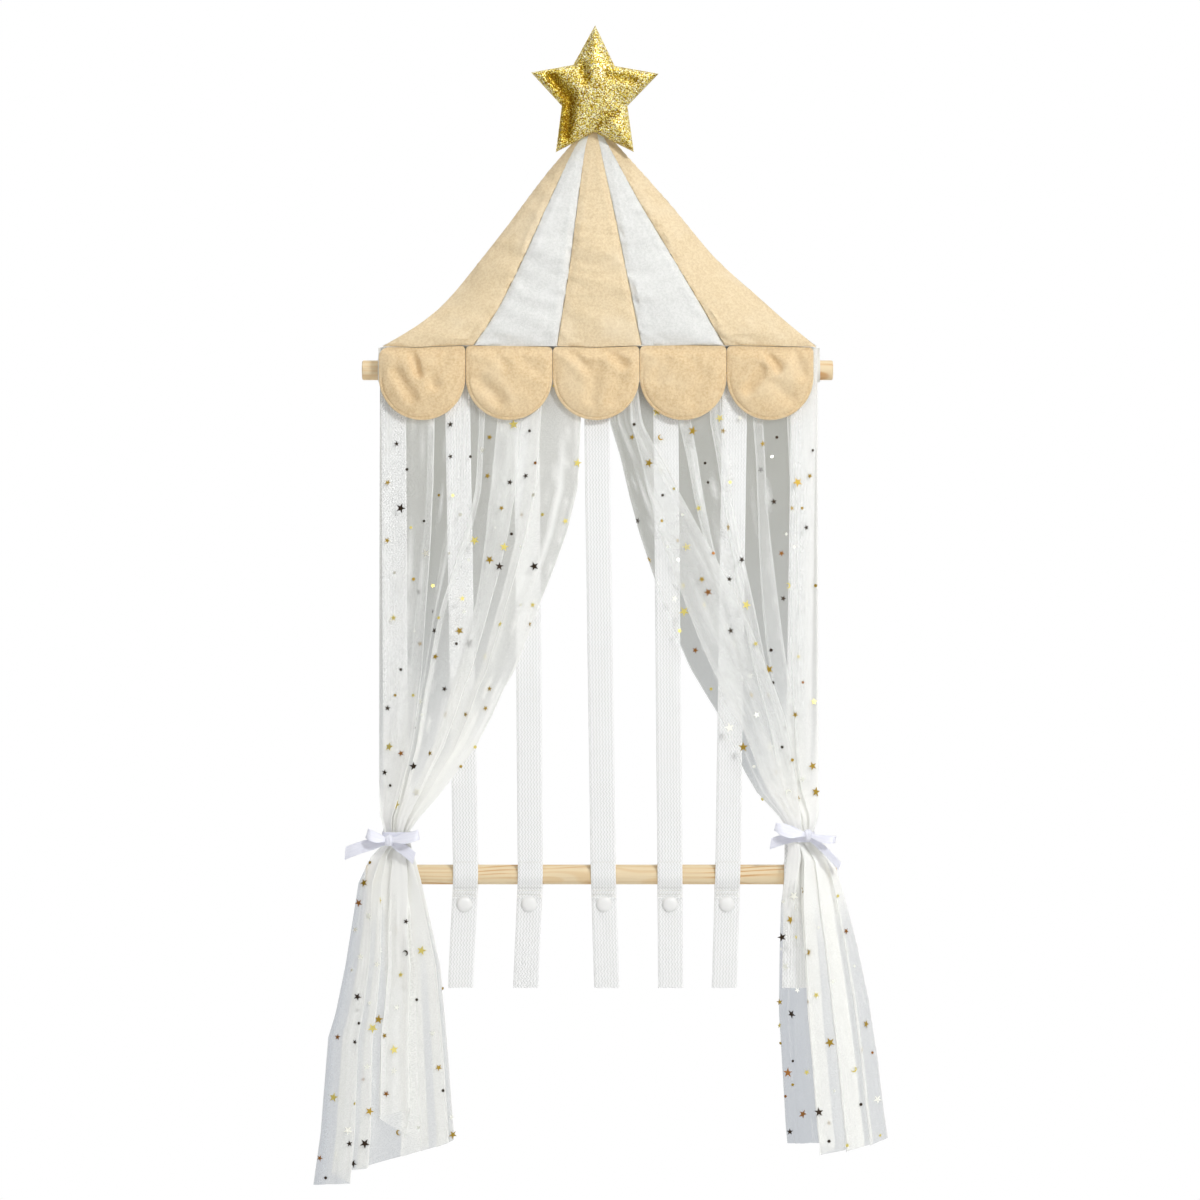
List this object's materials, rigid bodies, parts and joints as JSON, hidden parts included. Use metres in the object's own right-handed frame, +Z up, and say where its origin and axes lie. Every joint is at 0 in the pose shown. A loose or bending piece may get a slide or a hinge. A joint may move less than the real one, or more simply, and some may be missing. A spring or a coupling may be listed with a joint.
{
  "type": "wall canopy organiser",
  "caption": "Stuffed tent crown with star and scalloped valance, tied-back sheer curtains, and webbing straps between two dowels for hanging bows and clips.",
  "frame": {"origin": "inner top of the hanging loop's eye, at the middle of the tape's width, where the wall hook carries it", "axes": "+X to the right seen from the front, +Z up, the front faces -Y and the wall is at +Y"},
  "size_m": [0.4595, 0.0396, 0.9266],
  "materials": {
    "beige_plush": "short-pile beige plush",
    "white_plush": "short-pile white plush",
    "glitter_cloth": "gold glitter fabric",
    "stuffing": "fibre filling",
    "back_cloth": "plain white cotton",
    "webbing": "white herringbone webbing",
    "tulle": "sheer white tulle with gold foil confetti",
    "satin": "white satin ribbon",
    "pine": "bare sanded pine",
    "snap_plastic": "white moulded resin"
  },
  "bodies": {
    "crown": {"star_front": "glitter_cloth", "star_back": "glitter_cloth", "star_filling": "stuffing", "hanging_loop": "webbing", "roof_gore_1": "beige_plush", "roof_gore_2": "white_plush", "roof_gore_3": "beige_plush", "roof_gore_4": "white_plush", "roof_gore_5": "beige_plush", "roof_back_panel": "back_cloth", "roof_padding": "stuffing", "rod_sleeve": "back_cloth", "strap_1": "webbing", "strap_2": "webbing", "strap_3": "webbing", "strap_4": "webbing", "strap_5": "webbing", "strap_6": "webbing", "strap_7": "webbing", "snap_cap_1": "snap_plastic", "snap_cap_2": "snap_plastic", "snap_cap_3": "snap_plastic", "snap_cap_4": "snap_plastic", "snap_cap_5": "snap_plastic", "snap_cap_6": "snap_plastic", "snap_cap_7": "snap_plastic", "curtain_left": "tulle", "curtain_right": "tulle", "ribbon_band_left": "satin", "ribbon_band_right": "satin", "bow_knot_left": "satin", "bow_knot_right": "satin", "bow_loop_left_outer": "satin", "bow_loop_left_inner": "satin", "bow_loop_right_outer": "satin", "bow_loop_right_inner": "satin", "bow_tails_left": "satin", "bow_tails_right": "satin"},
    "upper_dowel": {"top_rod": "pine"},
    "lower_dowel": {"bottom_rod": "pine"},
    "flap_1": {"scallop_1": "beige_plush"},
    "flap_2": {"scallop_2": "beige_plush"},
    "flap_3": {"scallop_3": "beige_plush"},
    "flap_4": {"scallop_4": "beige_plush"},
    "flap_5": {"scallop_5": "beige_plush"},
    "loop_1": {"strap_loop_1": "webbing", "snap_socket_1": "snap_plastic"},
    "loop_2": {"strap_loop_2": "webbing", "snap_socket_2": "snap_plastic"},
    "loop_3": {"strap_loop_3": "webbing", "snap_socket_3": "snap_plastic"},
    "loop_4": {"strap_loop_4": "webbing", "snap_socket_4": "snap_plastic"},
    "loop_5": {"strap_loop_5": "webbing", "snap_socket_5": "snap_plastic"},
    "loop_6": {"strap_loop_6": "webbing", "snap_socket_6": "snap_plastic"},
    "loop_7": {"strap_loop_7": "webbing", "snap_socket_7": "snap_plastic"}
  },
  "joints": [
    {"name": "upper_dowel_slide", "type": "slide", "parent": "crown", "child": "upper_dowel", "axis": [1, 0, 0], "range_m": [0, 0.365]},
    {"name": "lower_dowel_slide", "type": "slide", "parent": "crown", "child": "lower_dowel", "axis": [1, 0, 0], "range_m": [0, 0.365]},
    {"name": "flap_1_lift", "type": "hinge", "parent": "crown", "child": "flap_1", "pos_m": [-0.1379, -0.0221, -0.215], "axis": [-1, 0, 0], "range_deg": [0, 85]},
    {"name": "flap_2_lift", "type": "hinge", "parent": "crown", "child": "flap_2", "pos_m": [-0.0685, -0.0221, -0.215], "axis": [-1, 0, 0], "range_deg": [0, 85]},
    {"name": "flap_3_lift", "type": "hinge", "parent": "crown", "child": "flap_3", "pos_m": [0.0009, -0.0221, -0.215], "axis": [-1, 0, 0], "range_deg": [0, 85]},
    {"name": "flap_4_lift", "type": "hinge", "parent": "crown", "child": "flap_4", "pos_m": [0.0703, -0.0221, -0.215], "axis": [-1, 0, 0], "range_deg": [0, 85]},
    {"name": "flap_5_lift", "type": "hinge", "parent": "crown", "child": "flap_5", "pos_m": [0.1397, -0.0221, -0.215], "axis": [-1, 0, 0], "range_deg": [0, 85]},
    {"name": "loop_1_open", "type": "hinge", "parent": "crown", "child": "loop_1", "pos_m": [-0.15895, -0.0129, -0.624], "axis": [1, 0, 0], "range_deg": [0, 90]},
    {"name": "loop_2_open", "type": "hinge", "parent": "crown", "child": "loop_2", "pos_m": [-0.1034, -0.0129, -0.624], "axis": [1, 0, 0], "range_deg": [0, 90]},
    {"name": "loop_3_open", "type": "hinge", "parent": "crown", "child": "loop_3", "pos_m": [-0.0517, -0.0129, -0.624], "axis": [1, 0, 0], "range_deg": [0, 90]},
    {"name": "loop_4_open", "type": "hinge", "parent": "crown", "child": "loop_4", "pos_m": [0.0066, -0.0129, -0.624], "axis": [1, 0, 0], "range_deg": [0, 90]},
    {"name": "loop_5_open", "type": "hinge", "parent": "crown", "child": "loop_5", "pos_m": [0.05995, -0.0129, -0.624], "axis": [1, 0, 0], "range_deg": [0, 90]},
    {"name": "loop_6_open", "type": "hinge", "parent": "crown", "child": "loop_6", "pos_m": [0.10615, -0.0129, -0.624], "axis": [1, 0, 0], "range_deg": [0, 90]},
    {"name": "loop_7_open", "type": "hinge", "parent": "crown", "child": "loop_7", "pos_m": [0.16115, -0.0129, -0.624], "axis": [1, 0, 0], "range_deg": [0, 90]}
  ]
}
